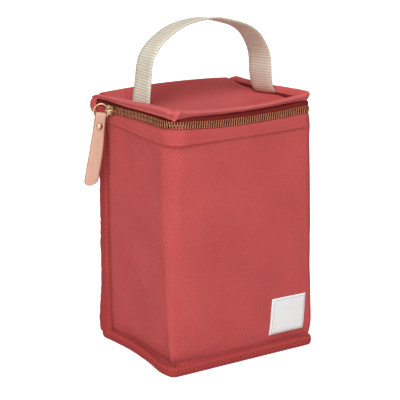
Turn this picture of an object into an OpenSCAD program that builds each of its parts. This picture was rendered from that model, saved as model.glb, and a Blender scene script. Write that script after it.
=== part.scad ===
// Insulated zip lunch bag with a standing webbing handle and a leather zip pull.
// Millimetres. The label is on the front (-Y), the lid hinges at the back (+Y) and Z is up.
// The origin is the middle of the underside.

/* [Bag] */
// Width across the front
bag_w = 130; // [110:1:170]
// Depth from front to back
bag_d = 110; // [96:1:150]
// Height of the middle of the zip
zip_z = 197; // [150:1:240]
// Height of the lid's rim above its panel
rim_h = 5.7; // [4:0.1:9]
// Radius of the two front corners
corner_r = 10; // [9:0.5:18]

/* [Layers] */
// Thickness of the outer cloth
fabric_t = 0.9; // [0.6:0.1:1.2]
// Thickness of the foam
foam_t = 4; // [3:0.5:6]
// Thickness of the lining
lining_t = 0.5; // [0.3:0.1:0.8]

/* [Trim] */
// Height of the binding round the base
base_binding_h = 8; // [6:0.5:12]
// Width of the rear corner strips on the sides of the bag
rear_strip_w = 15; // [8:1:24]
// Drop of the zip facing below the middle of the zip
facing_drop = 14; // [11:0.5:20]
// Width of the label
label_w = 32; // [20:1:40]
// Height of the label
label_h = 30; // [20:1:40]

/* [Zip] */
// Width of the chain over both rows of teeth
chain_w = 6; // [5:0.5:7]
// Spacing of the teeth along one row
tooth_pitch = 2.3; // [2:0.1:3]
// Distance of the slider from the back of the bag
slider_back = 24; // [20:1:60]

/* [Handle] */
// Width of the webbing
webbing_w = 25; // [20:1:32]
// Thickness of the webbing
webbing_t = 1.6; // [1:0.1:2.4]
// Height of the handle above the rim
handle_rise = 59; // [50:1:80]

/* [Zip pull] */
// Outer diameter of the ring
ring_d = 13; // [12.5:0.5:16]
// Length of the leather below the ring
pull_l = 56; // [30:1:70]
// Width of the leather at its rounded end
pull_w = 11; // [9:0.5:14]
// Thickness of the leather
leather_t = 1.4; // [1:0.1:1.8]

/* [Hidden] */
$fn = 48;

// Small gaps between stacked layers and between sewn trims
layer_gap = 0.2;
seam_gap = 0.1;

// Insets of the layers from the outer face of the cloth
foam_inset = fabric_t + layer_gap;
lining_inset = foam_inset + foam_t + layer_gap;
back_y = bag_d / 2;
front_y = -bag_d / 2;
side_x = bag_w / 2;

// Heights in the body, from the underside up
base_foam_z = fabric_t + layer_gap;
lining_floor_z = base_foam_z + foam_t + layer_gap;
mouth_clear = 2.2;
mouth_z = zip_z - chain_w / 2 - mouth_clear;
mouth_binding_h = 8;

// Zip
tape_t = 0.6;
tape_x = seam_gap;
tooth_mid_x = tape_x + tape_t / 2;
tooth_t = 2.4;
tooth_l = 1.2;
chain_gap = 0.6;
tooth_h = chain_w / 2 - chain_gap;
corner_y = front_y + corner_r;
slider_l = 10;
slider_y = back_y - slider_back;
stop_l = 2.5;
stop_gap = 0.4;
tape_end_inset = 6;
chain_left_end = slider_y + slider_l / 2 + stop_gap;
tape_end = back_y - tape_end_inset;
chain_right_end = tape_end - stop_l;

// Facing outside the lower tape
facing_x = tape_x + tape_t + seam_gap;
facing_clear = 1.6;
facing_top = zip_z - chain_w / 2 - facing_clear;

// Lid, from its lining up
lid_clear = 1.5;
lid_lining_z = zip_z + lid_clear;
lid_foam_z = lid_lining_z + lining_t + layer_gap;
panel_z = lid_foam_z + foam_t + layer_gap;
panel_top = panel_z + fabric_t;
rim_z = panel_top + rim_h;
lid_inset = 3.2;
lip_out = 2.6;
lip_in = 4;
lip_cap = 2.6;
lip_slot = 0.6;
lip_clear = 1.8;
lip_bottom = zip_z + chain_w / 2 + lip_clear;
back_r = panel_top - zip_z;
lip_end = back_y - back_r;

// Lid hinge
hinge_y = back_y - fabric_t / 2;
hinge_r = 1;
hinge_strip_h = 6;

// Handle, a three-centred arch of webbing
handle_inset = 8.8;
handle_x = side_x - handle_inset;
foot_h = 4;
sway_gap = 0.4;
sway_z = panel_top + foot_h + sway_gap + webbing_w / 2;
leg_l = 3;
handle_top = rim_z + handle_rise;
arch_b = min(handle_top - webbing_t / 2 - sway_z - leg_l, 0.95 * handle_x);
spring_z = handle_top - webbing_t / 2 - arch_b;
shoulder_r = 0.8 * arch_b;
crown_r = (pow(handle_x - shoulder_r, 2) + pow(arch_b, 2) - pow(shoulder_r, 2)) / (2 * (arch_b - shoulder_r));
crown_z = spring_z + arch_b - crown_r;
shoulder_turn = atan2(crown_r - arch_b, handle_x - shoulder_r);
arc_steps = 12;

// Slider plates either side of the teeth
run_gap = 0.3;
plate_t = 1;
front_plate_x = tooth_mid_x + tooth_t / 2 + run_gap;
back_plate_x = tooth_mid_x - tooth_t / 2 - run_gap - plate_t;
plate_h = chain_w + 0.8;
divider_t = 2 * (chain_gap - 0.2);
bridge_r = 0.8;
bridge_mid_r = 2.8;
bridge_x = front_plate_x + plate_t;

// Ring and leather pull
wire_r = 0.65;
ring_r = ring_d / 2 - wire_r;
ring_x = bridge_x + wire_r + 0.35;
ring_drop = 0.8;
ring_yaw = 25;
pull_tilt = 8;
fold_bore_r = wire_r + 0.35;
fold_r = fold_bore_r + leather_t;
fold_w = 0.86 * pull_w;
rivet_drop = 6;
rivet_r = 2.6;
rivet_post_r = 1.2;
rivet_head_t = 0.9;
leaf_margin = 3;
short_leaf_l = rivet_drop + rivet_r + leaf_margin;

// Label
label_t = 0.6;
label_margin = 4;
label_rise = 8;
label_right = side_x - label_margin;
label_z = base_binding_h + label_rise;
label_lean = 3.5;

cloth_red = [0.73, 0.30, 0.30];
foam_white = [0.93, 0.93, 0.90];
lining_grey = [0.80, 0.81, 0.82];
cream = [0.87, 0.83, 0.75];
leather_tan = [0.88, 0.67, 0.57];
brass = [0.72, 0.56, 0.32];
label_white = [0.95, 0.95, 0.94];

// Plan of the bag drawn in by an inset, round at the front corners and square at the back
module plan(inset) {
    half_w = side_x - inset;
    front = front_y + inset;
    r = max(corner_r - inset, 0.8);
    translate([-half_w, front + r])
        square([2 * half_w, back_y - inset - front - r]);
    translate([-half_w + r, front])
        square([2 * (half_w - r), r]);
    for (side = [-1, 1])
        translate([side * (half_w - r), front + r])
            circle(r);
}

// Plan of a layer round the left, front and right sides that ends at y_end
module plan_u(inset, thickness, y_end) {
    difference() {
        plan(inset);
        plan(inset + thickness);
        translate([inset + thickness - side_x, 0])
            square([bag_w - 2 * (inset + thickness), bag_d]);
        translate([-bag_w, y_end])
            square([2 * bag_w, bag_d]);
    }
}

// Layer of the given plan between two heights
module layer(z_low, z_high) {
    translate([0, 0, z_low])
        linear_extrude(z_high - z_low)
            children();
}

// Sweep of an upright profile, drawn outward from the wall, along the left, front and right sides
module sweep_u(y_end) {
    side_run = y_end - corner_y;
    front_run = bag_w - 2 * corner_r;
    translate([-side_x, corner_y, 0])
        rotate([90, 0, 180])
            linear_extrude(side_run)
                children();
    translate([side_x, y_end, 0])
        rotate([90, 0, 0])
            linear_extrude(side_run)
                children();
    translate([side_x - corner_r, front_y, 0])
        rotate([90, 0, -90])
            linear_extrude(front_run)
                children();
    for (side = [-1, 1])
        translate([side * (side_x - corner_r), corner_y, 0])
            rotate([0, 0, side < 0 ? 180 : 270])
                rotate_extrude(angle = 90)
                    translate([corner_r, 0])
                        children();
}

// Body of the bag

module outer_panel() {
    color(cloth_red)
        layer(fabric_t, mouth_z)
            plan_u(0, fabric_t, back_y - fabric_t);
}

module back_panel() {
    color(cloth_red)
        translate([-side_x, back_y - fabric_t, fabric_t])
            cube([bag_w, fabric_t, zip_z - hinge_strip_h - fabric_t]);
}

module base_panel() {
    color(cloth_red)
        layer(0, fabric_t)
            plan(0);
}

module wall_foam() {
    color(foam_white)
        layer(base_foam_z, mouth_z)
            plan_u(foam_inset, foam_t, back_y - foam_inset);
}

module back_foam() {
    half_w = side_x - lining_inset;
    color(foam_white)
        translate([-half_w, back_y - foam_inset - foam_t, base_foam_z])
            cube([2 * half_w, foam_t, mouth_z - base_foam_z]);
}

module base_foam() {
    color(foam_white)
        layer(base_foam_z, base_foam_z + foam_t)
            plan(lining_inset);
}

module body_lining() {
    color(lining_grey) {
        layer(lining_floor_z, lining_floor_z + lining_t)
            plan(lining_inset);
        layer(lining_floor_z + lining_t, mouth_z)
            difference() {
                plan(lining_inset);
                plan(lining_inset + lining_t);
            }
    }
}

// Tape over the top of the foam and down the inside of the lining
module mouth_binding() {
    inner = lining_inset + lining_t + seam_gap;
    color(cloth_red) {
        layer(mouth_z, mouth_z + tape_t)
            difference() {
                plan(foam_inset);
                plan(inner + tape_t);
            }
        layer(mouth_z - mouth_binding_h, mouth_z)
            difference() {
                plan(inner);
                plan(inner + tape_t);
            }
    }
}

module lower_zip_tape() {
    color(cloth_red)
        layer(zip_z - facing_drop + 0.5, zip_z - chain_w / 2)
            plan_u(-tape_x - tape_t, tape_t, tape_end);
}

module zip_facing() {
    color(cloth_red)
        layer(zip_z - facing_drop, facing_top)
            plan_u(-facing_x - fabric_t, fabric_t, back_y);
}

module base_binding() {
    color(cloth_red)
        layer(0, base_binding_h)
            difference() {
                plan(-seam_gap - 2 * fabric_t);
                plan(-seam_gap);
            }
}

// Strip folded round a rear corner, on the left when side is -1
module rear_strip(side) {
    low = base_binding_h + layer_gap;
    high = zip_z - facing_drop - layer_gap;
    reach = seam_gap + fabric_t;
    color(cloth_red)
        layer(low, high)
            mirror([side < 0 ? 1 : 0, 0])
                difference() {
                    translate([side_x - rear_strip_w / 2, back_y - rear_strip_w])
                        square([rear_strip_w / 2 + reach, rear_strip_w + reach]);
                    square([side_x + seam_gap, back_y + seam_gap]);
                }
}

module rear_strip_left() {
    rear_strip(-1);
}

module rear_strip_right() {
    rear_strip(1);
}

// Cloth fold with a round bead on the axis of the lid
module hinge_strip() {
    color(cloth_red) {
        translate([-side_x, back_y - fabric_t, zip_z - hinge_strip_h])
            cube([bag_w, fabric_t, hinge_strip_h]);
        translate([-side_x, hinge_y, zip_z])
            rotate([0, 90, 0])
                cylinder(h = bag_w, r = hinge_r);
    }
}

// Label that follows the front and leans a little, as sewn
module woven_label() {
    corners = [
        [label_right - label_w - label_lean, label_z],
        [label_right - label_lean, label_z],
        [label_right, label_z + label_h],
        [label_right - label_w, label_z + label_h]
    ];
    color(label_white)
        intersection() {
            layer(label_z - 1, label_z + label_h + 1)
                plan_u(-seam_gap - label_t, label_t, 0);
            rotate([90, 0, 0])
                linear_extrude(bag_d)
                    polygon(corners);
        }
}

// Zip

// Row of separate teeth along the left, front and right sides, moved along by a share of the pitch
module teeth_row(shift, z_low) {
    left_run = chain_left_end - corner_y;
    right_run = chain_right_end - corner_y;
    front_run = bag_w - 2 * corner_r;
    arc_r = corner_r + tooth_mid_x;
    left_count = floor(left_run / tooth_pitch);
    right_count = floor(right_run / tooth_pitch);
    front_count = floor(front_run / tooth_pitch);
    arc_count = floor(arc_r * PI / 2 / tooth_pitch);
    for (i = [0 : left_count - 1])
        translate([-side_x - tooth_mid_x, corner_y + (i + shift) * left_run / left_count, z_low])
            tooth();
    for (i = [0 : right_count - 1])
        translate([side_x + tooth_mid_x, corner_y + (i + shift) * right_run / right_count, z_low])
            tooth();
    for (i = [0 : front_count - 1])
        translate([-front_run / 2 + (i + shift) * front_run / front_count, front_y - tooth_mid_x, z_low])
            rotate([0, 0, 90])
                tooth();
    for (side = [-1, 1], i = [0 : arc_count - 1])
        translate([side * (side_x - corner_r), corner_y, z_low])
            rotate([0, 0, (side < 0 ? 180 : 270) + (i + shift) * 90 / arc_count])
                translate([arc_r, 0, 0])
                    tooth();
}

module tooth() {
    translate([-tooth_t / 2, -tooth_l / 2, 0])
        cube([tooth_t, tooth_l, tooth_h]);
}

module lower_zip_teeth() {
    color(brass)
        teeth_row(0.5, zip_z - chain_w / 2);
}

module upper_zip_teeth() {
    color(brass)
        teeth_row(0.75, zip_z + chain_gap);
}

module zip_end_stops() {
    color(brass) {
        translate([-side_x - tooth_mid_x - tooth_t / 2, chain_left_end, zip_z - chain_w / 2])
            cube([tooth_t, stop_l, tooth_h]);
        translate([side_x + tooth_mid_x - tooth_t / 2, chain_right_end, zip_z - chain_w / 2])
            cube([tooth_t, stop_l, tooth_h]);
    }
}

module upper_zip_tape() {
    color(cloth_red)
        layer(zip_z + chain_w / 2, rim_z - lip_cap - layer_gap)
            plan_u(-tape_x - tape_t, tape_t, lip_end);
}

// Lid

// Section of the folded rim: a round cap, an outer leg over the zip and an inner leg down to the panel
module lip_profile() {
    cap_low = rim_z - lip_cap;
    translate([-lip_in + lip_cap, cap_low])
        square([lip_in + lip_out - 2 * lip_cap, lip_cap]);
    for (x = [-lip_in + lip_cap, lip_out - lip_cap])
        intersection() {
            translate([x, cap_low])
                circle(lip_cap);
            translate([x - lip_cap, cap_low])
                square([2 * lip_cap, lip_cap]);
        }
    translate([facing_x, lip_bottom])
        square([lip_out - facing_x, cap_low - lip_bottom]);
    translate([-lip_in, panel_z])
        square([lip_in - lip_slot, cap_low - panel_z]);
}

module lid_lip() {
    color(cloth_red)
        sweep_u(lip_end)
            lip_profile();
}

module lid_panel() {
    color(cloth_red)
        layer(panel_z, panel_top)
            difference() {
                plan(lip_in + seam_gap);
                translate([-bag_w, lip_end])
                    square([2 * bag_w, bag_d]);
            }
}

// Rounded rear edge of the lid, a quarter tube closed at both ends
module lid_back_strip() {
    low = hinge_r + 0.5;
    end_t = 1.5;
    color(cloth_red)
        translate([-side_x, lip_end, zip_z])
            rotate([90, 0, 90]) {
                linear_extrude(bag_w)
                    back_section(low, back_r - fabric_t);
                linear_extrude(end_t)
                    back_section(low, 0);
                translate([0, 0, bag_w - end_t])
                    linear_extrude(end_t)
                        back_section(low, 0);
            }
}

// Quarter of the rear edge above a cut, hollow when bore is above zero
module back_section(low, bore) {
    difference() {
        intersection() {
            circle(back_r);
            translate([0, low])
                square([back_r, back_r]);
        }
        if (bore > 0)
            circle(bore);
    }
}

module lid_foam() {
    color(foam_white)
        layer(lid_foam_z, lid_foam_z + foam_t)
            difference() {
                plan(lid_inset);
                translate([-bag_w, lip_end])
                    square([2 * bag_w, bag_d]);
            }
}

module lid_lining() {
    color(lining_grey)
        layer(lid_lining_z, lid_lining_z + lining_t)
            difference() {
                plan(lid_inset);
                translate([-bag_w, back_y - lid_inset])
                    square([2 * bag_w, bag_d]);
            }
}

// Handle

// Sewn end of the webbing, just below the round end of the loop
module handle_foot(side) {
    color(cream)
        translate([side * handle_x - webbing_t / 2, -webbing_w / 2, panel_top])
            cube([webbing_t, webbing_w, foot_h]);
}

module handle_foot_left() {
    handle_foot(-1);
}

module handle_foot_right() {
    handle_foot(1);
}

// Points of an arc after its first one
function arc(x, z, r, from, to) = [
    for (i = [1 : arc_steps])
        let (turn = from + (to - from) * i / arc_steps)
        [x + r * cos(turn), z + r * sin(turn)]
];

// One side of the webbing seen from the front, from the right leg over the crown to the left leg
function handle_line(offset) = concat(
    [[handle_x + offset, sway_z], [handle_x + offset, spring_z]],
    arc(handle_x - shoulder_r, spring_z, shoulder_r + offset, 0, shoulder_turn),
    arc(0, crown_z, crown_r + offset, shoulder_turn, 180 - shoulder_turn),
    arc(shoulder_r - handle_x, spring_z, shoulder_r + offset, 180 - shoulder_turn, 180),
    [[-handle_x - offset, sway_z]]
);

function reversed(points) = [for (i = [len(points) - 1 : -1 : 0]) points[i]];

// Round lower end of a leg, on the axis of the handle
module leg_end() {
    intersection() {
        translate([-webbing_t / 2, 0, sway_z])
            rotate([0, 90, 0])
                cylinder(h = webbing_t, r = webbing_w / 2);
        translate([-webbing_t, -webbing_w, sway_z - webbing_w])
            cube([2 * webbing_t, 2 * webbing_w, webbing_w]);
    }
}

module handle_loop() {
    color(cream) {
        translate([0, webbing_w / 2, 0])
            rotate([90, 0, 0])
                linear_extrude(webbing_w)
                    polygon(concat(handle_line(webbing_t / 2), reversed(handle_line(-webbing_t / 2))));
        for (side = [-1, 1])
            translate([side * handle_x, 0, 0])
                leg_end();
    }
}

// Slider and pull

// Frame of the slider: X outward from the left side, Y toward the front
module slider_frame() {
    translate([-side_x, slider_y, zip_z])
        rotate([0, 0, 180])
            children();
}

// Frame of the ring at its centre: X away from the slider in the plane of the ring, Y across it
module ring_frame() {
    slider_frame()
        translate([ring_x, 0, -ring_drop])
            rotate([0, 0, -ring_yaw])
                translate([ring_r, 0, 0])
                    children();
}

// Frame of the leather at the centre of the ring, with -Z along the leather
module pull_frame() {
    ring_frame()
        rotate([0, -pull_tilt, 0])
            children();
}

// Plate of the slider, wider toward the front
module slider_plate() {
    half_l = slider_l / 2;
    rear_h = plate_h - 1.4;
    rotate([90, 0, 90])
        linear_extrude(plate_t)
            polygon([
                [-half_l, -rear_h / 2],
                [-half_l + 2, -plate_h / 2],
                [half_l - 1, -plate_h / 2],
                [half_l, -plate_h / 2 + 1],
                [half_l, plate_h / 2 - 1],
                [half_l - 1, plate_h / 2],
                [-half_l + 2, plate_h / 2],
                [-half_l, rear_h / 2]
            ]);
}

module zip_slider() {
    flange_top = -chain_w / 2 - run_gap;
    flange_t = 0.6;
    flange_l = slider_l - 4;
    color(brass)
        slider_frame() {
            translate([front_plate_x, 0, 0])
                slider_plate();
            translate([back_plate_x, 0, 0])
                slider_plate();
            translate([back_plate_x, slider_l / 2 - 3, -divider_t / 2])
                cube([front_plate_x - back_plate_x + plate_t, 2, divider_t]);
            translate([facing_x + 0.2, -flange_l / 2, flange_top - flange_t])
                cube([bridge_x - facing_x - 0.2, flange_l, flange_t]);
            translate([bridge_x, 0, 0])
                rotate([0, 0, -90])
                    rotate_extrude(angle = 180)
                        translate([bridge_mid_r, 0])
                            circle(bridge_r);
        }
}

module pull_ring() {
    color(brass)
        ring_frame()
            rotate([90, 0, 0])
                rotate_extrude()
                    translate([ring_r, 0])
                        circle(wire_r);
}

// Outline of one leaf of the leather, hanging from the bottom of the ring
module leaf_outline(length, end_w) {
    polygon([
        [-fold_w / 2, -ring_r],
        [fold_w / 2, -ring_r],
        [end_w / 2, -ring_r - length + end_w / 2],
        [-end_w / 2, -ring_r - length + end_w / 2]
    ]);
    translate([0, -ring_r - length + end_w / 2])
        circle(end_w / 2);
}

module leather_pull() {
    color(leather_tan)
        pull_frame()
            difference() {
                union() {
                    translate([0, leather_t, 0])
                        rotate([90, 0, 0])
                            linear_extrude(leather_t)
                                leaf_outline(pull_l, pull_w);
                    rotate([90, 0, 0])
                        linear_extrude(leather_t)
                            leaf_outline(short_leaf_l, fold_w);
                    translate([-fold_w / 2, 0, -ring_r])
                        rotate([0, 90, 0])
                            cylinder(h = fold_w, r = fold_r);
                }
                rotate([90, 0, 0])
                    rotate_extrude()
                        translate([ring_r, 0])
                            circle(fold_bore_r);
                translate([0, 0, -ring_r - rivet_drop])
                    rotate([90, 0, 0])
                        cylinder(h = 6 * leather_t, r = rivet_post_r + seam_gap, center = true);
            }
}

module pull_rivet() {
    color(brass)
        pull_frame()
            translate([0, 0, -ring_r - rivet_drop])
                rotate([90, 0, 0]) {
                    cylinder(h = 2 * leather_t + rivet_head_t, r = rivet_post_r, center = true);
                    for (end = [-leather_t - rivet_head_t, leather_t])
                        translate([0, 0, end])
                            cylinder(h = rivet_head_t, r = rivet_r);
                }
}

outer_panel();
back_panel();
base_panel();
wall_foam();
back_foam();
base_foam();
body_lining();
mouth_binding();
lower_zip_tape();
lower_zip_teeth();
zip_end_stops();
zip_facing();
base_binding();
rear_strip_left();
rear_strip_right();
hinge_strip();
woven_label();
lid_panel();
lid_lip();
lid_back_strip();
lid_foam();
lid_lining();
upper_zip_tape();
upper_zip_teeth();
handle_foot_left();
handle_foot_right();
handle_loop();
zip_slider();
pull_ring();
leather_pull();
pull_rivet();
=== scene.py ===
"""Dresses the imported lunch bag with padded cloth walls, a zipped lid, a webbing handle and a leather pull.

Lengths are written in millimetres and become metres where a mesh is made.
X points to the right, Y to the back and Z up, and the origin is under the middle of the bag.
"""

from collections import namedtuple
from contextlib import contextmanager
from math import copysign, cos, exp, hypot, pi, radians, sin, sqrt, tanh

import bmesh
import bpy
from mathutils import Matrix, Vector, noise

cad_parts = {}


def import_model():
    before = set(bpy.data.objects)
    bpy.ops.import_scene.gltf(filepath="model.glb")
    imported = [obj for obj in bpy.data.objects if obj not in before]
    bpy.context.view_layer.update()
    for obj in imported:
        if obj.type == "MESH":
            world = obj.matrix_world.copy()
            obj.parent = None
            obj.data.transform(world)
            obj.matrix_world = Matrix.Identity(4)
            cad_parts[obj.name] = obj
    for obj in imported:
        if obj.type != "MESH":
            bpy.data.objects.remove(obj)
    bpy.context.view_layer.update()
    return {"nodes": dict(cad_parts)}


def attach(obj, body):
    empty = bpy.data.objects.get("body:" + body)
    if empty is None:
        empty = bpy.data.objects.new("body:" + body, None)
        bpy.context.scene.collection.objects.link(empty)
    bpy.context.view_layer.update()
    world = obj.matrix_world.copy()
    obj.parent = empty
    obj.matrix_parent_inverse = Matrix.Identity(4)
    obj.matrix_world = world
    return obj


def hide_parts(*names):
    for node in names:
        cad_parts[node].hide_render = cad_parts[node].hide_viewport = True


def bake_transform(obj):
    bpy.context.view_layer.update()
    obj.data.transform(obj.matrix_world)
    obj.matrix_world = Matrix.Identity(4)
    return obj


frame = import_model()
scene = bpy.context.scene

# Directions and units

MM = 0.001
UP = Vector((0, 0, 1))
LEFTWARD = Vector((-1, 0, 0))
FORWARD = Vector((0, -1, 0))
INSIDE = Vector((0, 0, 100))

# Sizes of the walls, the base and the strips

HALF_W = 65
HALF_D = 55
MOUTH_Z = 191.8
PANEL_T = 3
LEAST_R = 0.5
FOLD_R = 3.5
FOLD_ROLL = 6.5
FOLD_ROLL_W = 36
WALL_END_Y = 49
WALL_SWELL = 1.6
BACK_COLUMNS = 40
BASE_EDGE = 1
BASE_LIFT = 0.8
REAR_R = 6.5
REAR_PUFF = 9.6
REAR_PUFF_W = 9
REAR_PUFF_WAY = Vector((-0.75, 0.66, 0))

FOOT_SIDE_PULL = 2.8
FOOT_FRONT_PULL = 1.3
# Dents along the foot of the front: their x, width and depth
FOOT_DENTS = ((-52, 24, 1.3), (45, 20, 0.7))
FLARE_W = 45
FLARE_H = 45
FLARE_SIDE = 2.8
FLARE_FRONT = 1.6
BOW_IN = 3.3
CREASE_MIDDLE = Vector((-5, 66))
CREASE_WAY = Vector((-44, -42)).normalized()

BINDING_H = 8.6
BINDING_T = 3
BINDING_IN = 0.6
BINDING_ARC = 1.45
STRIP_W = 13
STRIP_BACK_W = 9
STRIP_T = 2.9
STRIP_TOP_Z = 187.5
STRIP_SEAM_COLUMN = 2
LINING_R = 10

# Sizes of the zip and the band under it

ZIP_Z = 197
ZIP_R = 14
ZIP_RIGHT_R = 7
ZIP_SAG = 1.2
ZIP_CLIMB = 1.9
ZIP_RIGHT_CLIMB = 0.7
ZIP_END_Y = 49
FACING_FRONT_Z = 182.8
FACING_SIDE_Z = 185.4
FACING_TOP_Z = 192.6
FACING_T = 1.6
FACING_HEM = 2.3
FACING_LIP = 1.5
FACING_END_Y = 43.5
TOOTH_PITCH = 2.11
TOOTH_SIZE = (0.95, 2.5, 3.4)
TOOTH_BEVEL = 0.28
TOOTH_LOW = 0.7
TOOTH_HIGH = 1.4
CHAIN_LEFT_Y = 36.4
CHAIN_RIGHT_Y = 46.5
TAPE_GAP = 0.9
SLIDER_ROOM_Z = 195.7

# Sizes of the lid

RIM_TOP_Z = 211
RIM_LEFT_REAR_Z = 206.7
RIM_RIGHT_REAR_Z = 207.8
RIM_LOW_Z = 201.7
RIM_R = 6
RIM_REAR_R = 9
RIM_WRAP_X = 46
RIM_FRONT_DIP = 4.4
RIM_TUCK = 4
RIM_PINCH = 1.4
RIM_SEAM = 2.3
RIM_SIDE_LIFT = 1
RIM_RIGHT_LIFT = 2.3
RIM_CORNER_LIFT = 2.4
RIM_FRONT_LIFT = 1.6
RIM_REAR_DROP = 5.5
LID_BELOW_RIM = 1.2
LID_BELOW_CORNER = 3
LID_RIGHT_Z = 202.2
LID_REAR_LEFT_Z = 207.2
LID_REAR_RIGHT_Z = 206.2
LID_REAR_CREST = 3.3
LID_TROUGH = 4.2
LID_MOUND = 2.6
LID_T = 0.9
LID_ROLL_R = 9
LID_REAR_LOW_Z = 199.5
LID_ROWS = 60
LID_ROLL_ROWS = 12
LID_COLUMNS = 76
LID_LOWEST_Z = 200.2
LID_SAG_FRAMES = 24
LID_CLOTH = {
    "quality": 8,
    "mass": 0.2,
    "tension_stiffness": 30,
    "compression_stiffness": 30,
    "bending_stiffness": 2,
    "shrink_min": -0.012,
}
HINGE_Y = 54.55
HINGE_LOW_Z = 186
HINGE_HIGH_Z = 203.5
HINGE_ROWS = 16

# Sizes of the handle, the pull and the label

WEBBING_W = 25
WEBBING_T = 1.6
HANDLE_POINTS = 161
HANDLE_TWIST = -0.17
HANDLE_ROLL = -0.13
RING_CENTRE = Vector((-74.202, 33.472, 196.2))
RING_YAW = radians(155)
RING_R = 5.85
PULL_TILT = radians(8)
PULL_POINTS = 141
PULL_LOOP_R = 1.55
PULL_LOOP_DROP = 3.2
LEATHER_T = 1.4
RIVET_DROP = RING_R + 6
RIVET_SIDES = 24
LABEL_W = 32
LABEL_H = 30
LABEL_X = 25.5
LABEL_Z = 16
LABEL_LEAN = 3.4
LABEL_MARGIN = 1.6
LABEL_FRONT_START = 8
LABEL_FRONT_RUN = 114


# Small helpers

def lerp(a, b, share):
    return a + (b - a) * share


def clamp(share):
    return min(max(share, 0), 1)


def ease(share):
    """Rises smoothly from 0 to 1, level at both ends."""
    share = clamp(share)
    return share * share * (3 - 2 * share)


def arch(share):
    """Rises from 0 to 1 at the middle and falls back."""
    return sin(pi * clamp(share))


def shares(count):
    """The shares from 0 to 1 in equal steps."""
    return [i / count for i in range(count + 1)]


def bell(distance, width):
    """1 at no distance, and about a third at the width."""
    return exp(-((distance / width) ** 2))


def ripple(x, y, seed, size):
    """Noise from about -1 to 1, in lumps of the given size."""
    return noise.noise(Vector((x / size, y / size, seed)))


# Outline of the bag seen from above

Place = namedtuple("Place", "point outward part share")

STEPS = {
    "left": 72, "front_left": 14, "front": 48, "front_right": 14, "right": 72,
    "rear_right": 12, "back": 36, "rear_left": 12,
}


def flat(x, y):
    return Vector((x, y, 0))


def off(place, out, z):
    """The point at a height that lies so far out from a place."""
    return place.point + place.outward * out + UP * z


def only(path, *parts):
    return [place for place in path if place.part in parts]


def straight(part, start, end, outward):
    """Places along one wall, without its last point."""
    return [Place(start.lerp(end, share), outward, part, share) for share in shares(STEPS[part])[:-1]]


def turn(part, centre, radius, start):
    """Places round a quarter circle, without its last point."""
    places = []
    for share in shares(STEPS[part])[:-1]:
        angle = start + share * pi / 2
        outward = flat(cos(angle), sin(angle))
        places.append(Place(centre + outward * radius, outward, part, share))
    return places


def outline(left_r, right_r, rear_r=None, inset=0, rear_y=HALF_D):
    """The walls from the left rear round the front to the right rear, and with rear_r round the back."""
    w = HALF_W - inset
    d = HALF_D - inset
    lr = max(left_r - inset, LEAST_R)
    fr = max(right_r - inset, LEAST_R)
    rr = 0 if rear_r is None else max(rear_r - inset, LEAST_R)
    y_end = rear_y if rear_r is None else d - rr
    places = straight("left", flat(-w, y_end), flat(-w, lr - d), LEFTWARD)
    places += turn("front_left", flat(lr - w, lr - d), lr, pi)
    places += straight("front", flat(lr - w, -d), flat(w - fr, -d), FORWARD)
    places += turn("front_right", flat(w - fr, fr - d), fr, 1.5 * pi)
    places += straight("right", flat(w, fr - d), flat(w, y_end), -LEFTWARD)
    if rear_r is None:
        return places + [Place(flat(w, y_end), -LEFTWARD, "right", 1)]
    places += turn("rear_right", flat(w - rr, d - rr), rr, 0)
    places += straight("back", flat(w - rr, d), flat(rr - w, d), -FORWARD)
    return places + turn("rear_left", flat(rr - w, d - rr), rr, pi / 2)


def wall_outline(z):
    """The folds are tight at the base and rounder at the zip."""
    share = ease(z / MOUTH_Z) ** 1.5
    return outline(lerp(FOLD_R, ZIP_R, share), lerp(FOLD_R, ZIP_RIGHT_R, share), rear_y=WALL_END_Y)


def zip_path(end_y=ZIP_END_Y):
    return outline(ZIP_R, ZIP_RIGHT_R, rear_y=end_y)


# Lie of the cloth

def seam_pull(place, z):
    """How far the seams draw the wall in, less its swell under the zip."""
    x, y = place.point.x, place.point.y
    if place.part == "left":
        base = FOOT_SIDE_PULL * ease((HALF_D - y) / 40)
    else:
        base = FOOT_FRONT_PULL + sum(depth * bell(x - at, width) for at, width, depth in FOOT_DENTS)
    foot = base * bell(z - BINDING_H, 8) + 0.8 * bell(z - BINDING_H, 2)
    strip = y - HALF_D + STRIP_W
    rear = 0.6 * bell(strip + 1, 4) + 1.1 * bell(strip + 0.3, 1.8)
    return foot + rear - 0.6 * bell(z - FACING_FRONT_Z, 6)


def left_creases(y, z):
    """A hollow by the foot of the left fold, less two soft ridges."""
    away = Vector((y, z)) - CREASE_MIDDLE
    slanting = 0.6 * bell(away.cross(CREASE_WAY), 3.4) * bell(away.dot(CREASE_WAY), 24)
    under_zip = 0.5 * bell(y - 1, 5) * bell(z - 166, 20)
    hollow = 2.6 * bell(y + 42, 12) * bell(z - 20, 28)
    return hollow - slanting - under_zip


def toward(reach, wall):
    """1 at a wall, and 0 further in than the flare is wide."""
    return ease(1 - (wall - reach) / FLARE_W)


def base_bow(point):
    """The foot's left edge bows in, and its front and front corners flare out."""
    front = toward(-point.y, HALF_D)
    left = BOW_IN * bell(point.y - 15, 34) - FLARE_SIDE * bell(point.y + 42, 16)
    x = toward(-point.x, HALF_W) * left + FLARE_SIDE * toward(point.x, HALF_W) * front
    return point + flat(x, -FLARE_FRONT * front) * bell(point.z, FLARE_H)


def fold_back(point):
    """Rolls the front wall back into its left fold."""
    near = clamp(1 - (point.x + HALF_W) / FOLD_ROLL_W) ** 2
    drawn = FOLD_ROLL * near * toward(-point.y, HALF_D) * sqrt(arch(point.z / MOUTH_Z))
    return point - FORWARD * drawn


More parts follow.
